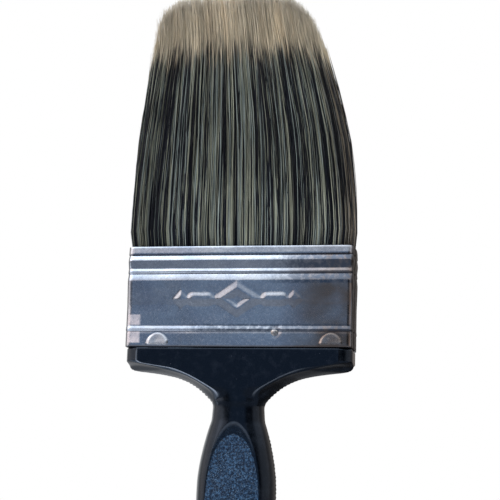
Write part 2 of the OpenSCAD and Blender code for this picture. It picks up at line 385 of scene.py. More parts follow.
def wood_material():
    t = Tree("plug_wood")
    g = t.noise(420, 4, 0.6, t.scaled(0.06, 1, 1), 0.5)
    base = t.ramp(g, [(0.3, lin(146, 104, 62)), (0.55, lin(188, 146, 98)),
                      (0.75, lin(204, 168, 120))])
    return t.set(color=base, rough=t.ramp(g, [(0.3, 0.55), (0.7, 0.75)]),
                 normal=t.bump(g, 0.4, 0.0003))


def root_material():
    t = Tree("filament_roots")
    g = t.noise(1500, 3, 0.6, t.scaled(1, 1, 0.03))
    base = t.ramp(g, [(0.35, lin(20, 20, 22)), (0.5, lin(70, 68, 60)),
                      (0.66, lin(120, 117, 104))])
    return t.set(color=base, rough=t.ramp(g, [(0.3, 0.45), (0.7, 0.6)]),
                 normal=t.bump(g, 0.8, 0.0004))


MAT = {"filament": filament_material(), "tinplate": tinplate_material(),
       "plastic": plastic_material(), "steel": steel_material(),
       "resin": resin_material(), "wood": wood_material(), "roots": root_material()}


def cad_material(node, mat):
    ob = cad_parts[node]
    if not ob.material_slots:
        ob.data.materials.append(mat)
    for s in ob.material_slots:
        s.material = mat


for node, m in (("ferrule_nail_front", "steel"), ("ferrule_nail_rear", "steel"),
                ("resin_set", "resin"), ("spacer_plug_left", "wood"),
                ("spacer_plug_right", "wood"), ("root_bank_front", "roots"),
                ("root_bank_rear", "roots")):
    cad_material(node, MAT[m])


# ---------------------------------------------------------------- filaments
HEAD_W = [[0, 36.9], [1.2, 37.5], [4, 37.9], [9, 37.7], [17.3, 37.2], [25.5, 36.4],
          [33.7, 35.5], [42, 34.2], [50.3, 32.6], [58.7, 30.9], [64.3, 29.7],
          [71.4, 28.45], [78, 27.8], [84, 27.4], [90, 27.1]]
HEAD_D = [[0, 6.95], [6, 7.3], [20, 7.9], [35, 8.25], [48, 8.2], [60, 7.7],
          [70, 6.9], [78, 6.0], [85, 5.1], [90, 4.6]]
LEAN = [[0, -0.15], [6, -0.35], [17, -0.45], [34, -0.75], [50, -1.7], [59, -2.4],
        [71, -3.55], [79, -4.7], [85, -5.7], [90, -6.3]]
RINGS = 14


def strand_set(rng, n):
    """Places of the roots, -1..1 across the width and 0..1 out from the middle."""
    k = int(n * 0.60)
    s = np.concatenate([rng.uniform(-1, 1, k), rng.uniform(-0.97, 0.97, n - k)])
    q = np.concatenate([1 - np.abs(rng.normal(0, 0.13, k)),
                        rng.uniform(0.0, 0.9, n - k)])
    # some of the outer ones close the narrow sides
    m = rng.random(n) < 0.075
    s[m] = np.sign(rng.uniform(-1, 1, m.sum())) * (1 - np.abs(rng.normal(0, 0.014, m.sum())))
    q[m] = rng.uniform(0, 1, m.sum())
    return np.clip(s, -1, 1), np.clip(q, 0.0, 1)


def make_strands(name, seed, side, half, n):
    """A tuft of tapered three-sided filaments: side -1 is the front bank,
    half -1 the left half of the width."""
    rng = np.random.default_rng(seed)
    s, q = strand_set(rng, n)
    s = (s + 1) / 2 * half                       # 0..1 times the half's sign
    s = np.where(np.abs(s) < 1e-4, 1e-4 * half, s)
    # square-ish section: depth drops close to the narrow sides
    edge = (1 - np.abs(s) ** 14) ** (1 / 2.6)
    # clusters shared by every tuft
    clump = noise1(11)
    tone = noise1(12)
    tone2 = noise1(13)
    sweep = noise1(14)

    ln = LEN + 1.5 - 8.2 * np.abs(s) ** 4.2 - 11.0 * np.abs(s) ** 18 - 0.9 * q ** 2
    ln -= np.abs(rng.normal(0, 0.55, n)) + (rng.random(n) < 0.10) * rng.uniform(0, 4, n)
    # near-black, slate or olive grey filaments, in small uneven groups
    P = 0.46 + 0.26 * tone(s * 24 + side * 9) + 0.32 * tone2(s * 78 + side * 4)
    dark = rng.random(n) > np.clip(P, 0.08, 0.90)
    ht = 67.1 + rng.normal(0, 2.1, n) + 2.2 * clump(s * 38 + side * 7) - 1.6 * np.abs(s) ** 3
    ht += np.where(dark, 1.7, -1.5)
    ht = np.minimum(ht, ln - 5)
    low = np.array([0, 0.09, 0.20, 0.32, 0.44, 0.57, 0.71, 0.86])
    h = np.zeros((n, RINGS))
    h[:, 0] = -3.0
    for i in range(1, 8):
        h[:, i] = low[i] * ht
    h[:, 8] = ht - 2.2
    h[:, 9] = ht + 1.6
    for i, f in enumerate((0.3, 0.58, 0.82, 1.0)):
        h[:, 10 + i] = ht + 1.6 + (ln - ht - 1.6) * f
    hh = np.clip(h, 0, None)
    up = hh / LEN
    A, B = spline(HEAD_W, hh), spline(HEAD_D, hh)
    x = s[:, None] * A
    y = (q * edge)[:, None] * B * side
    # the whole head leans a little to one side near its tips
    x += spline(LEAN, hh)
    # clumping, single strays and slow waves
    pull = sweep(s * 14 + side * 3)[:, None] * 0.7 + clump(s * 46 + side * 5)[:, None] * 0.45
    x += pull * up ** 1.8
    x += rng.normal(0, 0.75, n)[:, None] * up ** 1.15
    y += rng.normal(0, 0.38, n)[:, None] * up ** 1.0 * (0.4 + q[:, None])
    ph = rng.uniform(0, 6.28, (n, 1))
    wl = rng.uniform(24, 52, (n, 1))
    am = rng.uniform(0.03, 0.24, (n, 1))
    x += am * np.sin(hh * 6.28 / wl + ph) * smooth(up, 0, 0.25)
    y += am * 0.8 * np.cos(hh * 6.28 / wl * 0.9 + ph * 1.7) * smooth(up, 0, 0.3)
    # some cross their neighbours
    x += rng.normal(0, 0.34, (n, 1)) * np.sin(np.clip(up, 0, 1) * 3.14) \
        * np.where(rng.random((n, 1)) < 0.5, 1.0, 0.3)
    stray = (rng.random(n) < 0.02)[:, None]
    x += stray * rng.normal(0, 1.6, (n, 1)) * up ** 2
    y += stray * np.abs(rng.normal(0, 0.9, (n, 1))) * side * up ** 2
    # stay inside the tin at the mouth
    k = 1 - smooth(hh, -0.2, 1.4)
    x = x * (1 - k) + np.clip(x, -36.6, 36.6) * k
    y = y * (1 - k) + np.clip(y, -7.05, 7.05) * k

    r0 = rng.uniform(0.125, 0.165, (n, 1))
    taper = 1 - 0.30 * np.clip(hh / ln[:, None], 0, 1) ** 1.2
    taper *= 1 - 0.58 * smooth(hh / ln[:, None], 0.80, 1.0)
    r = r0 * taper
    r[:, -1] *= 0.55
    spin = rng.uniform(0, 6.28, (n, 1))
    co = np.zeros((n, RINGS, 3, 3))
    for k3 in range(3):
        a = spin + 2.0944 * k3
        co[:, :, k3, 0] = x + r * np.cos(a)
        co[:, :, k3, 1] = y + r * np.sin(a)
        co[:, :, k3, 2] = ZM + h
    co = (co.reshape(-1, 3) * MM)

    # faces, as numbers
    base = (np.arange(n) * RINGS * 3)[:, None, None]
    ring = (np.arange(RINGS - 1) * 3)[None, :, None]
    c = np.arange(3)[None, None, :]
    a0 = base + ring + c
    a1 = base + ring + (c + 1) % 3
    quads = np.stack([a0, a1, a1 + 3, a0 + 3], -1).reshape(-1, 4)
    b0 = (np.arange(n) * RINGS * 3)[:, None]
    bottom = b0 + np.array([[2, 1, 0]])
    top = b0 + (RINGS - 1) * 3 + np.array([[0, 1, 2]])
    me = bpy.data.meshes.new(name)
    nq, nt = len(quads), 2 * n
    me.vertices.add(len(co))
    me.vertices.foreach_set("co", co.ravel())
    loops = np.concatenate([quads.ravel(), np.concatenate([bottom, top]).ravel()])
    me.loops.add(len(loops))
    me.loops.foreach_set("vertex_index", loops.astype(np.int32))
    me.polygons.add(nq + nt)
    starts = np.concatenate([np.arange(nq) * 4, nq * 4 + np.arange(nt) * 3])
    me.polygons.foreach_set("loop_start", starts.astype(np.int32))
    me.update(calc_edges=True)
    me.validate()
    me.polygons.foreach_set("use_smooth", np.ones(len(me.polygons), bool))

    # colour of each filament, pale towards the tip
    mid = rng.random(n) < 0.22
    col_d = np.array(lin(8, 14, 26))[None, :] * rng.uniform(0.5, 1.6, (n, 1))
    olive = np.array(lin(*OLIVE))[None, :] * rng.uniform(0.70, 1.25, (n, 1))
    cool = np.array(lin(*COOL))[None, :] * rng.uniform(0.70, 1.2, (n, 1))
    light = np.where((rng.random(n) < 0.35)[:, None], cool, olive)
    body = np.where(dark[:, None], col_d, light)
    body = np.where((mid & ~dark)[:, None], light * 0.5, body)
    # browner and darker towards the right narrow side
    brown = smooth(s, 0.80, 0.99)[:, None] * 0.75
    body = body * (1 - brown) + body * np.array([[0.62, 0.40, 0.34]]) * brown
    pale = np.array(lin(*PALE))[None, :] * (1 + 0.045 * rng.normal(0, 1, (n, 1)))
    warm = smooth(tone(s * 22 + 60), 0.35, 0.9)[:, None] * 0.3
    pale = pale * (1 + warm * np.array([[0.16, 0.0, -0.18]]))
    pale = np.where(dark[:, None], pale * 0.97, pale)
    pale = np.clip(pale, 0.02, 0.95)
    grey = np.array(lin(*GREY))[None, :] * (1 + 0.08 * rng.normal(0, 1, (n, 1)))
    col = np.zeros((n, RINGS, 3, 4))
    col[..., 3] = 1
    for i in range(RINGS):
        if i <= 8:
            c0 = body * (1.0 + 0.32 * (1 - min(i / 3.5, 1)))
            c0 = c0 * (1 - 0.10 * (i in (4, 5, 6)))
            if i == 8:
                c0 = c0 * 0.88 + pale * 0.12 * rng.uniform(0.0, 1.0, (n, 1))
        else:
            w = (i - 9) / 4.0
            c0 = pale * (0.90 + 0.10 * w) * (1 - w ** 3 * 0.5) + grey * (w ** 3 * 0.5)
        col[:, i, :, :3] = c0[:, None, :]
    at = me.color_attributes.new("strand_colour", "FLOAT_COLOR", "POINT")
    at.data.foreach_set("color", col.reshape(-1).astype(np.float32))

    # one cell of the sheet for each filament, its length along V
    rows, cols = 5, int(math.ceil(n / 5))
    i = np.arange(n)
    cu, cv = i % cols, i // cols
    w, hgt = 1 / cols, 1 / rows
    frac = np.linspace(0.04, 0.96, RINGS)
    uvq = np.zeros((n, RINGS - 1, 3, 4, 2))
    for c3 in range(3):
        u0 = (cu + 0.06 + 0.88 * c3 / 3) * w
        u1 = (cu + 0.06 + 0.88 * (c3 + 1) / 3) * w
        for r3 in range(RINGS - 1):
            v0, v1 = (cv + frac[r3]) * hgt, (cv + frac[r3 + 1]) * hgt
            uvq[:, r3, c3, 0] = np.stack([u0, v0], -1)
            uvq[:, r3, c3, 1] = np.stack([u1, v0], -1)
            uvq[:, r3, c3, 2] = np.stack([u1, v1], -1)
            uvq[:, r3, c3, 3] = np.stack([u0, v1], -1)
    tip = np.zeros((2, n, 3, 2))
    for e3, fr in ((0, (0.004, 0.03)), (1, (0.97, 0.996))):
        for k3, (fu, fv) in enumerate(((0.2, fr[0]), (0.8, fr[0]), (0.5, fr[1]))):
            tip[e3, :, k3, 0] = (cu + fu) * w
            tip[e3, :, k3, 1] = (cv + fv) * hgt
    uv = np.concatenate([uvq.reshape(-1, 2), tip.reshape(-1, 2)])
    layer = me.uv_layers.new(name="OFBake")
    if len(layer.data) == len(uv):
        layer.data.foreach_set("uv", uv.astype(np.float32).ravel())

    ob = bpy.data.objects.new(name, me)
    scene.collection.objects.link(ob)
    me.materials.append(MAT["filament"])
    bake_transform(ob)
    return ob


OLIVE = (160, 163, 143)
COOL = (145, 156, 150)
PALE = (229, 214, 184)
GREY = (196, 192, 186)
N_TUFT = 2700
for key, seed, side, half in (("front_left", 101, -1, -1), ("front_right", 102, -1, 1),
                              ("rear_left", 103, 1, -1), ("rear_right", 104, 1, 1)):
    make_strands("filaments_" + key, seed, side, half, N_TUFT)
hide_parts("filament_bank_front")
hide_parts("filament_bank_front")
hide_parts("filament_bank_rear")
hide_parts("filament_bank_rear")


# ---------------------------------------------------------------- ferrule
def hump(z, z0, zc, z1, h, p=1.35):
    """A rolled rib from z0 to z1 with its crest at zc and nearly straight flanks."""
    up = np.clip((z - z0) / (zc - z0), 0, 1)
    dn = np.clip((z1 - z) / (z1 - zc), 0, 1)
    return h * (1 - (1 - np.minimum(up, dn)) ** p)


def tin_profile(z):
    """How far the tin stands out at height z above its lower edge."""
    out = np.zeros_like(z)
    out += 0.46 * smooth(z, 30.32, 30.48) * np.clip((33.6 - z) / 2.8, 0, 1)
    out += hump(z, 25.75, 28.2, 30.15, 0.80, 1.18)
    out += hump(z, 24.0, 24.5, 25.65, 0.44, 1.1)
    out += hump(z, 13.5, 21.55, 23.75, 0.70, 1.2)
    out += hump(z, 5.1, 5.5, 6.7, 0.42, 1.15)
    out += 0.05 * smooth(z, 4.5, 4.0)
    out += -0.10 * hump(z, 30.05, 30.2, 30.35, 1) - 0.10 * hump(z, 23.7, 23.88, 24.06, 1)
    out += -0.06 * hump(z, 4.5, 4.85, 5.15, 1)
    # a rolled lower edge and a slightly turned-in lip
    out += -0.12 * smooth(z, 0.35, 0.0) - 0.10 * smooth(z, 32.6, 33.0)
    return out


def sdf_lozenge(x, z, cx, w, h):
    k = np.abs(x - cx) / (w / 2) + np.abs(z) / (h / 2)
    return (1 - k) * (w * h) / (2 * math.hypot(w, h))


def sdf_bar(x, z, cx, w, h):
    dx = np.clip(np.abs(x - cx) - (w - h) / 2, 0, None)
    return h / 2 - np.hypot(dx, z)


def tin_mark(x, z):
    """A generic pressed mark: a lozenge between rounded bars."""
    d = sdf_lozenge(x, z, 0, 16, 10.4)
    inner = sdf_lozenge(x, z, 0, 7.6, 4.8)
    m = smooth(d, -1.2, 2.0) * 0.66 - smooth(inner, -1.1, 1.2) * 0.46
    for s in (-1, 1):
        m += smooth(sdf_bar(x, z, s * 12.2, 8.2, 3.4), -0.9, 1.2) * 0.52
        m += smooth(sdf_lozenge(x, z, s * 18.6, 4.2, 4.6), -0.9, 1.0) * 0.44
    return m


def make_ferrule():
    r = 2.0
    hw, ht = FW / 2, FT / 2
    # points round the section with their outward directions, from the middle
    # of the front, to the right
    pts = []
    fx = np.concatenate([np.linspace(0, 22, 74), np.linspace(22, hw - r, 36)[1:]])
    for x in fx:
        pts.append((x, -ht, 0, -1))
    for a in np.linspace(0, 90, 9)[1:]:
        t = math.radians(a)
        pts.append((hw - r + r * math.sin(t), -ht + r - r * math.cos(t),
                    math.sin(t), -math.cos(t)))
    for y in np.linspace(-ht + r, ht - r, 30)[1:]:
        pts.append((hw, y, 1, 0))
    for a in np.linspace(0, 90, 9)[1:]:
        t = math.radians(a)
        pts.append((hw - r + r * math.cos(t), ht - r + r * math.sin(t),
                    math.cos(t), math.sin(t)))
    bx = np.linspace(hw - r, -(hw - r), 150)[1:]
    for x in bx:
        pts.append((x, ht, 0, 1))
    for a in np.linspace(0, 90, 9)[1:]:
        t = math.radians(a)
        pts.append((-(hw - r) - r * math.sin(t), ht - r + r * math.cos(t),
                    -math.sin(t), math.cos(t)))
    for y in np.linspace(ht - r, -ht + r, 30)[1:]:
        pts.append((-hw, y, -1, 0))
    for a in np.linspace(0, 90, 9)[1:]:
        t = math.radians(a)
        pts.append((-(hw - r) - r * math.cos(t), -ht + r - r * math.sin(t),
                    -math.cos(t), -math.sin(t)))
    for x in -fx[::-1][1:-1]:
        pts.append((x, -ht, 0, -1))
    P = np.array(pts)
    n = len(P)
    zs = np.unique(np.round(np.concatenate([
        np.linspace(0, 0.5, 5), np.linspace(0.5, 4.4, 19), np.linspace(4.4, 7.2, 20),
        np.linspace(7.2, 10.6, 10), np.linspace(10.6, 20.6, 36), np.linspace(20.6, 31.2, 60),
        np.linspace(31.2, 33, 9)]), 3))
    X, Z = np.meshgrid(P[:, 0], zs)
    Y = np.broadcast_to(P[:, 1], X.shape)
    NX, NY = np.broadcast_to(P[:, 2], X.shape), np.broadcast_to(P[:, 3], X.shape)
    front = (NY < -0.99)
    back = (NY > 0.99)
    out = tin_profile(Z)
    out = out * (1 - 0.72 * smooth(np.abs(NX), 0.35, 1.0))
    out = out + np.where(front, tin_mark(X, Z - 15.5), 0)
    # pressed half-moon crimps near the lower edge, on both faces
    for side, mask in ((1, front), (-1, back)):
        for cx in (-26.2, 30.6):
            d = 3.5 - np.hypot(X * side - cx, (Z - 0.9) * 1.02)
            inside = smooth(d, -0.05, 0.35) * smooth(Z, 0.65, 0.95)
            tilt = 0.16 if cx < 0 else 0.12
            out = out + np.where(mask, inside * tilt * (3.5 - (Z - 0.9))
                                 - 0.06 * smooth(np.abs(d + 0.25), 0.3, 0) * smooth(Z, 0.6, 1.2), 0)
        # a dimple round the nail
        d = np.hypot(X * side - NAIL[0], Z - NAIL[1])
        out = out + np.where(mask, -0.16 * smooth(d, 2.6, 0.9), 0)
    # the sheet is never quite flat
    w1, w2 = noise1(31), noise1(32)
    wob = (w1(X * 0.10 + Z * 0.03 + 20) * 0.10 + w2(X * 0.05 - Z * 0.12 + 40) * 0.09)
    out = out + np.where(front | back, wob * smooth(np.abs(X), 38, 30), 0)
    # soft dents along the lower edge
    out = out + np.where(front | back, 0.05 * w2(X * 0.45 + 9) * smooth(Z, 5, 0.5), 0)
    # lapped seam on the right narrow side
    lap = (NX > 0.99) * smooth(np.abs(Y + 0.0), 2.75, 2.5) * 0.28
    out = out + lap
    co = np.stack([X + NX * out, Y + NY * out, Z], -1).reshape(-1, 3)
    rows = len(zs)
    # inside: down the wall in a few rows, 0.5 mm in
    t = 0.5
    inz = [32.85, 32.2, 24, 16, 8, 1.0, 0.15]
    inner = []
    for z in inz:
        k = t if z < 32.6 else t * 0.8
        inner.append(np.stack([P[:, 0] - P[:, 2] * k, P[:, 1] - P[:, 3] * k,
                               np.full(n, z)], -1))
    allco = np.concatenate([co, np.concatenate(inner)])
    allco[:, 2] += ZF
    faces = strip_faces(rows, n, True)
    m = len(inner)
    base = rows * n
    for c in range(n):                            # lip
        a, b = (rows - 1) * n + c, (rows - 1) * n + (c + 1) % n
        faces.append((a, b, base + (c + 1) % n, base + c))
    faces += strip_faces(m, n, True, base)
    last = base + (m - 1) * n
    for c in range(n):                            # lower edge
        a, b = c, (c + 1) % n
        faces.append((last + c, last + (c + 1) % n, b, a))
    ob = new_mesh("ferrule_shell", allco * MM, faces)
    me = ob.data
    # tinted and dark places, painted shade, painted highlights and painted reflections, as numbers on the
    # points
    zz = allco[:, 2] - ZF
    xx = allco[:, 0]
    fr = allco[:, 1] < -7
    # painted reflections in the two crimps and a painted highlight line along the left corner
    painted_glint = np.zeros(len(allco))
    for cx, k in ((-26.2, 1.0), (30.6, 0.45)):
        painted_glint += smooth(3.5 - np.hypot(xx - cx, zz - 0.9), -0.1, 0.3) * smooth(zz, 0.5, 0.8) * fr * k
    painted_glint += smooth(np.abs(xx + 36.4), 0.7, 0.2) * fr * 0.5
    # the right half is browner, and darker with painted shade so its highlights fade; the lower edge is browner
    # too
    brown_tint_and_shade = smooth(xx, 10, 29) * 0.95 * fr * (1 - 0.75 * smooth(zz, 30.2, 30.6))
    brown_tint_and_shade += smooth(zz, 0.7, 0.0) * 0.6
    # a dark brown patch in one lower corner; painted shade in the grooves and on the narrow sides
    shade_and_dark_patch = smooth(np.hypot((xx - 33.5) / 7, (zz - 4.0) / 5.5), 1.0, 0.3) * 0.26 * fr
    shade_and_dark_patch += smooth(np.abs(zz - 30.2), 0.18, 0.0) * 0.75 + smooth(np.abs(zz - 23.88), 0.25, 0.0) * 0.6
    shade_and_dark_patch += smooth(np.abs(zz - 4.85), 0.35, 0.0) * 0.35
    side = smooth(np.where(xx > 0, xx, -xx + 0.35), 36.75, 37.2)
    shade_and_dark_patch = np.maximum(shade_and_dark_patch, side * np.where(xx > 0, 0.95, 0.85))
    # painted shade on the ribs and beads away from the left end, so their highlights fade there
    painted_highlight_fade = smooth(xx, -22, -12) * smooth(np.abs(zz - 6.1), 1.3, 0.9) * 0.75
    painted_highlight_fade += smooth(xx, 4, 24) * smooth(np.abs(zz - 25.4), 5.0, 4.6) * 0.85 \
        * (1 - 0.8 * smooth(np.abs(zz - 24.95), 0.9, 0.6))
    painted_highlight_fade = painted_highlight_fade * fr
    # two painted window reflections, pale and less metallic, at the lower left corner
    painted_window_reflection = smooth(xx, -32.0, -32.5) * smooth(xx, -36.6, -36.0) * fr * (
        smooth(zz, 6.8, 7.2) * smooth(zz, 10.6, 10.2) + smooth(zz, 0.9, 1.3) * smooth(zz, 5.0, 4.6))
    for nm, v in (("painted_window_reflection", np.clip(painted_window_reflection, 0, 1)), ("painted_glint", np.clip(painted_glint, 0, 1)), ("brown_tint_and_shade", np.clip(brown_tint_and_shade, 0, 1)),
                  ("shade_and_dark_patch", np.clip(shade_and_dark_patch, 0, 1)), ("painted_highlight_fade", np.clip(painted_highlight_fade, 0, 1))):
        at = me.attributes.new(nm, "FLOAT", "POINT")
        at.data.foreach_set("value", v.astype(np.float32))
    me.set_sharp_from_angle(angle=math.radians(50))
    me.materials.append(MAT["tinplate"])
    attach(ob, "brush_body")
    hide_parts("ferrule")
    return ob


make_ferrule()


# ---------------------------------------------------------------- handle
OUTLINE = [[0.2, 37.3], [4.8, 37.3], [6.0, 37.0], [6.7, 36.4], [7.15, 35.4], [7.45, 33.9],
           [7.85, 30.4], [8.35, 26.5], [8.95, 23.1], [9.55, 20.5], [10.25, 18.5], [11.35, 16.0],
           [12.6, 13.95], [14, 12.1], [15.3, 10.65], [16.5, 9.5], [17.6, 8.65],
           [19, 8.32], [20.5, 8.4], [23, 8.6], [25.6, 9.35], [28.2, 10.1], [33.4, 11.35],
           [38.5, 12.25], [43, 12.7], [48, 12.8], [56, 12.25], [68, 10.5], [82, 8.75],
           [97, 8.05], [110, 8.85], [121, 10.05], [129, 9.65], [133, 8.05],
           [135.1, 5.65], [136, 3.05]]
PLATEAU = [[0.2, 33.0], [4.4, 33.0], [5.0, 32.3], [5.35, 31.5], [5.9, 28.3], [6.5, 24.2],
           [7.0, 21.3], [8.7, 16.5], [11, 11.9], [13, 8.4], [14.6, 5.4], [15.8, 2.9],
           [16.6, 0.9], [16.9, 0.25], [17.2, 0.02], [136, 0.02]]
DEPTH = [[0.2, 7.65], [10, 7.65], [14, 7.65], [17, 7.7], [20, 7.55], [23, 7.6], [28, 8.1],
         [33, 8.7], [41, 9.25], [48, 9.4], [56, 9.3], [68, 8.7], [82, 7.9], [97, 7.3],
         [110, 6.9], [121, 6.7], [129, 6.35], [133, 5.6], [135.1, 4.2], [136, 2.4]]
# flank under the shoulder: share of the way out, share of the depth
FLANK = np.array([[0, 1.0], [0.03, 0.995], [0.12, 0.973], [0.21, 0.950], [0.25, 0.932],
                  [0.28, 0.87], [0.33, 0.79], [0.42, 0.69], [0.53, 0.58], [0.64, 0.48],
                  [0.74, 0.38], [0.83, 0.28], [0.91, 0.18], [0.965, 0.10], [0.99, 0.055],
                  [1.0, 0.0]])


def dish_depth(x, d):
    """The thumb dish: an oval with a soft rim, deepest at its middle."""
    hw, hl, cd = 9.0, 25.2, 49.0
    dd = np.asarray(d, float) - cd
    k = (np.asarray(x, float) / (hw * (1 - 0.10 * (dd / hl) ** 2))) ** 2 + np.abs(dd / hl) ** 2.25
    g = np.clip(1 - k, 0, 1)
    return 1.55 * (1 - (1 - g) ** 1.6) * smooth(g, 0, 0.18) ** 0.6


def make_handle():
    nf, npl = len(FLANK), 13
    ds = np.unique(np.round(np.concatenate([
        np.linspace(0.2, 4.2, 9), np.linspace(4.2, 10, 59), np.linspace(10, 18, 47),
        np.linspace(18, 30, 40), np.linspace(30, 78, 100), np.linspace(78, 110, 40),
        np.linspace(110, 130, 34), np.linspace(130, 136, 22)]), 3))
    # run of the outline, for evenly spaced ribs on the parting line
    oa = spline(OUTLINE, ds)
    arc = np.concatenate([[0], np.cumsum(np.hypot(np.diff(oa), np.diff(ds)))])
    theta = np.linspace(0, math.pi / 2, nf)
    crease_highlight = {}

    def ring(a, b, p, kind, d, z, rib):
        # right front quarter, from the middle of the front to the parting line
        inner = np.linspace(0, max(p - 0.34, 0.62 * p), npl - 1)
        xs = np.concatenate([inner, p + (a - p) * FLANK[:, 0]])
        ys = np.concatenate([np.full(npl - 1, b), b * FLANK[:, 1]])
        th = np.linspace(0, math.pi / 2, npl - 1 + nf)
        xs = xs * (1 - kind) + a * np.sin(th) ** (2 / 2.35) * kind
        ys = ys * (1 - kind) + b * np.cos(th) ** (2 / 2.35) * kind
        return xs, ys

    def full(xs, ys, z, rib=0.0):
        """The whole ring from its right front quarter."""
        e = xs.copy()
        e[-1] += rib
        ys = np.maximum(ys, 0)
        fr = np.stack([e, -ys], -1)                    # middle front -> right
        br = np.stack([e[::-1], ys[::-1]], -1)[1:]     # right -> middle back
        bl = np.stack([-e, ys], -1)[1:]                # middle back -> left
        fl = np.stack([-e[::-1], -ys[::-1]], -1)[1:-1]
        r = np.concatenate([fr, br, bl, fl])
        return np.concatenate([r, np.full((len(r), 1), z)], 1)

    def flat_ring(w, dth, r, z, shrink=0.0):
        """A rounded rectangle with the same number of points."""
        th = np.linspace(0, math.pi / 2, nf)
        px, py = w / 2 - r, dth / 2 - r
        xs = np.concatenate([np.linspace(0, px, npl)[:-1], px + r * np.sin(th)])
        ys = np.concatenate([np.full(npl - 1, dth / 2), py + r * np.cos(th)])
        ys[-1] = 0.0
        xs[-1] = w / 2
        ys[-2] = py * 0.5
        xs[-2] = w / 2
        return full(xs * (1 - shrink), ys * (1 - shrink), z)

    rings = [flat_ring(73.2, 14.1, 1.4, ZF + 11.9), flat_ring(73.4, 14.3, 1.45, ZF + 11.6),
             flat_ring(73.4, 14.3, 1.45, ZF + 0.0), flat_ring(73.4, 14.3, 1.45, ZF - 0.12)]
    d_of = [-11.9, -11.6, 0, 0.12]
    # upper edge of the shoulder, slightly rounded
    for i, d in enumerate(ds):
        a = float(spline(OUTLINE, d))
        b = float(spline(DEPTH, d))
        p = float(spline(PLATEAU, d))
        if d < 0.75:                               # soft upper edge
            s = 0.30 * (1 - (d - 0.2) / 0.55) ** 2
            a, b, p = a - s, b - s, p - s * 0.5
        kind = float(smooth(d, 12.4, 17.8))
        # upright corners of the shoulder are plainly round
        xs, ys = ring(a, b, p, kind, d, 0, 0)
        if d < 6.0:
            k = float(1 - smooth(d, 4.4, 6.0))
            r = a - p
            f = np.linspace(math.radians(20), math.pi / 2, 11)
            g = (np.sin(f) - np.sin(f[0])) / (1 - np.sin(f[0]))
            h = np.cos(f) / np.cos(f[0])
            fx = np.concatenate([[0, 0.05], 0.09 + 0.91 * g, [1, 1, 1]])
            fy = np.concatenate([[1, 0.995], 1 - 0.025 - (1 - h) * min(r / b, 0.55), [0.30, 0.15, 0]])
            xr = np.concatenate([xs[:npl - 1], p + r * fx])
            yr = np.concatenate([ys[:npl - 1], b * fy])
            xs, ys = xs * (1 - k) + xr * k, ys * (1 - k) + yr * k
        on = smooth(d, 6.6, 7.4) * smooth(d, 19, 15.5) + smooth(d, 26, 30) * smooth(d, 66, 56) * 0.8
        tooth = 0.5 + 0.5 * math.sin(arc[i] * 2 * math.pi / 1.3)
        rib = 0.34 * (smooth(tooth, 0.25, 0.75) - 0.3) * on + 0.10 * smooth(d, 4, 8)
        # the ribs run a little way on to the flank
        R = full(xs, ys, ZF - d, float(rib))
        dep = dish_depth(R[:, 0], d)
        deep = np.abs(R[:, 1]) > 3.0
        R[:, 1] -= np.sign(R[:, 1]) * dep * deep
        # a painted highlight along the crease of the shoulder, strongest on the left
        L = npl - 1 + nf
        left = (0.35 * smooth(d, 0.6, 1.2) + 0.65 * smooth(d, 4.2, 5.0)) * smooth(d, 16.4, 13.8)
        right = 0.28 * smooth(d, 6.0, 8.5) * smooth(d, 16.4, 13.8)
        for j in (npl - 1, npl):
            for k, v in ((j, right), (4 * L - 4 - j, left)):
                crease_highlight[tuple(np.round(R[k], 2))] = float(v)
        rings.append(R)
        d_of.append(d)
    n = len(rings[0])
    allco = np.concatenate(rings)
    m = len(rings)
    # rings run downwards, so the faces are flipped
    faces = strip_faces(m, n, True, 0, flip=True)
    faces.append(tuple(range(n)))
    faces.append(tuple((m - 1) * n + i for i in range(n - 1, -1, -1)))
    ob = new_mesh("handle_moulding", allco * MM, faces)
    me = ob.data

    # hanging hole, flared where it meets the two faces
    prof = [(-12, 5.6), (-7.4, 5.4), (-6.6, 4.35), (-6.1, 3.9), (-5.4, 3.62), (-4.2, 3.5),
            (4.2, 3.5), (5.4, 3.62), (6.1, 3.9), (6.6, 4.35), (7.4, 5.4), (12, 5.6)]
    seg = 56
    cco, cf = [], []
    for y, rad in prof:
        for i in range(seg):
            a = 2 * math.pi * i / seg
            cco.append((rad * math.cos(a) * MM, y * MM, rad * math.sin(a) * MM))
    for k in range(len(prof) - 1):
        for i in range(seg):
            a, b = k * seg + i, k * seg + (i + 1) % seg
            cf.append((a, a + seg, b + seg, b))
    cf.append(tuple(range(seg)))
    cf.append(tuple((len(prof) - 1) * seg + i for i in range(seg - 1, -1, -1)))
    cut = new_mesh("cutter", np.array(cco), cf)
    mod = ob.modifiers.new("hole", "BOOLEAN")
    mod.operation, mod.object, mod.solver = "DIFFERENCE", cut, "EXACT"
    dg = bpy.context.evaluated_depsgraph_get()
    done = bpy.data.meshes.new_from_object(ob.evaluated_get(dg))
    ob.modifiers.clear()
    ob.data = done
    bpy.data.objects.remove(cut)
    me = ob.data
    co = np.zeros(len(me.vertices) * 3)
    me.vertices.foreach_get("co", co)
    co = co.reshape(-1, 3) / MM
    # the painted crease highlight, as a number on the points
    edge = np.array([crease_highlight.get(tuple(v), 0.0) for v in np.round(co, 2)])
    at = me.attributes.new("edge", "FLOAT", "POINT")
    at.data.foreach_set("value", np.clip(edge, 0, 1).astype(np.float32))
    me.polygons.foreach_set("use_smooth", np.ones(len(me.polygons), bool))
    me.set_sharp_from_angle(angle=math.radians(38))
    me.materials.clear()
    me.materials.append(MAT["plastic"])
    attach(ob, "brush_body")
    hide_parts("handle")
    return ob


make_handle()


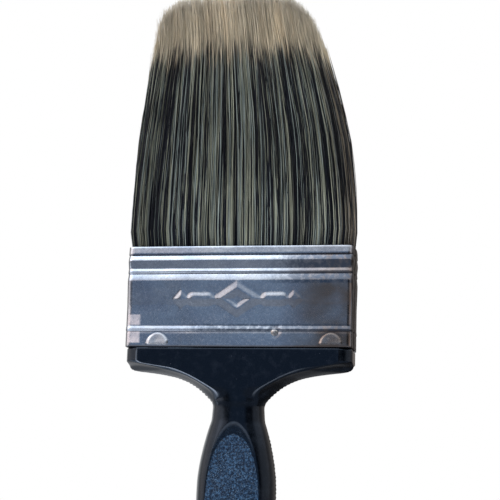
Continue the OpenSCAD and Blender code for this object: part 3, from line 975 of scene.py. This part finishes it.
# ---------------------------------------------------------------- studio
def make_floor():
    me = bpy.data.meshes.new("floor")
    s, z = 4.0, ZB * MM - 0.0004
    me.from_pydata([(-s, -s, z), (s, -s, z), (s, s, z), (-s, s, z)], [], [(0, 1, 2, 3)])
    ob = bpy.data.objects.new("floor", me)
    scene.collection.objects.link(ob)
    t = Tree("floor_pale")
    g = t.noise(14, 3)
    t.set(color=t.ramp(g, [(0.3, (0.66, 0.66, 0.67)), (0.7, (0.70, 0.70, 0.71))]),
          rough=0.7, spec=0.2)
    # in mirror reflections only, the floor is an emitter: painted shade on its near side and a painted window
    # light on its left side
    sep = t.nt.nodes.new("ShaderNodeSeparateXYZ")
    t.link(t.pos, sep.inputs[0])
    x, y = sep.outputs[0], sep.outputs[1]
    left = t.ramp(t.math("MULTIPLY", x, -2.0), [(0.06, 0.0), (0.20, 1.0)])
    nearby = t.ramp(t.math("ADD", y, 0.5), [(0.33, 0.0), (0.42, 1.0)])
    rear = t.ramp(t.math("ADD", y, 0.5), [(0.46, 0.0), (0.60, 1.0)])
    across = t.ramp(t.math("ADD", x, 0.5), [(0.40, FLOOR_REAR), (0.56, FLOOR_DARK)])
    c = t.mix("MIX", t.math("MULTIPLY", left, nearby), FLOOR_NEAR, FLOOR_LEFT)
    c = t.mix("MIX", rear, c, across)
    em = t.nt.nodes.new("ShaderNodeEmission")
    t.link(c, em.inputs["Color"])
    lp = t.nt.nodes.new("ShaderNodeLightPath")
    mx = t.nt.nodes.new("ShaderNodeMixShader")
    t.link(lp.outputs["Is Glossy Ray"], mx.inputs[0])
    t.link(t.bsdf.outputs[0], mx.inputs[1])
    t.link(em.outputs[0], mx.inputs[2])
    t.link(mx.outputs[0], t.out.inputs[0])
    me.materials.append(t.mat)


def make_world():
    w = bpy.data.worlds.new("studio")
    scene.world = w
    w.use_nodes = True
    nt = w.node_tree
    nt.nodes.clear()
    N = nt.nodes.new

    def math_(op, a, b=None, clamp=False):
        n = N("ShaderNodeMath")
        n.operation, n.use_clamp = op, clamp
        for i, v in enumerate((a, b)):
            if v is None:
                continue
            if isinstance(v, (int, float)):
                n.inputs[i].default_value = v
            else:
                nt.links.new(v, n.inputs[i])
        return n.outputs[0]

    def step(v, a, b):
        n = N("ShaderNodeMapRange")
        n.interpolation_type = "SMOOTHSTEP"
        n.inputs["From Min"].default_value = a
        n.inputs["From Max"].default_value = b
        nt.links.new(v, n.inputs["Value"])
        return n.outputs["Result"]

    def mix(kind, f, a, b):
        n = N("ShaderNodeMix")
        n.data_type, n.blend_type = "RGBA", kind
        n.clamp_result = False
        for s, v in ((n.inputs[0], f), (n.inputs[6], a), (n.inputs[7], b)):
            if isinstance(v, tuple):
                s.default_value = (*v, 1)
            elif isinstance(v, (int, float)):
                s.default_value = v
            else:
                nt.links.new(v, s)
        return n.outputs[2]

    gen = N("ShaderNodeTexCoord").outputs["Generated"]
    sep = N("ShaderNodeSeparateXYZ")
    nt.links.new(gen, sep.inputs[0])
    x, y, z = sep.outputs

    def lobe(d, a, b):
        n = N("ShaderNodeVectorMath")
        n.operation = "DOT_PRODUCT"
        nt.links.new(gen, n.inputs[0])
        n.inputs[1].default_value = Vector(d).normalized()
        return step(n.outputs["Value"], a, b)

    col = mix("MIX", lobe((0.02, -1.0, 0.14), 0.88, 0.965), SHADE, FRONT)
    col = mix("MIX", step(y, 0.05, 0.75), col, mix("MIX", step(x, -0.10, 0.06), REAR, REAR_RIGHT))
    col = mix("MIX", step(z, 0.30, 0.76), col, TOP)
    col = mix("LIGHTEN", lobe((-0.58, -0.64, 0.50), 0.905, 0.955), col, PANE)
    col = mix("ADD", lobe((-0.50, -0.25, 0.83), 0.86, 0.96), col, KEY)
    col = mix("ADD", lobe((-0.95, -0.25, 0.22), 0.80, 0.95), col, LEFT)
    col = mix("ADD", lobe((0.97, -0.05, 0.25), 0.84, 0.96), col, RIGHT)
    bg = N("ShaderNodeBackground")
    nt.links.new(col, bg.inputs[0])
    white = N("ShaderNodeBackground")
    white.inputs[0].default_value = (1, 1, 1, 1)
    lp = N("ShaderNodeLightPath")
    mx = N("ShaderNodeMixShader")
    nt.links.new(lp.outputs["Is Camera Ray"], mx.inputs[0])
    nt.links.new(bg.outputs[0], mx.inputs[1])
    nt.links.new(white.outputs[0], mx.inputs[2])
    out = N("ShaderNodeOutputWorld")
    nt.links.new(mx.outputs[0], out.inputs[0])


FRONT = (0.190, 0.262, 0.375)
SHADE = (0.030, 0.034, 0.044)
REAR = (1.10, 1.10, 1.08)
TOP = (1.24, 1.30, 1.39)
KEY = (1.60, 1.70, 1.85)
LEFT = (1.10, 0.97, 0.90)
RIGHT = (0.50, 0.46, 0.44)
REAR_RIGHT = (0.30, 0.27, 0.25)
PANE = (1.10, 0.98, 0.96)
# glow colours of the floor in mirror reflections only: painted shade and painted window light
FLOOR_NEAR = (0.26, 0.29, 0.35)
FLOOR_LEFT = (1.6, 1.65, 1.75)
FLOOR_REAR = (0.55, 0.56, 0.58)
FLOOR_DARK = (0.07, 0.07, 0.075)
make_floor()
make_world()
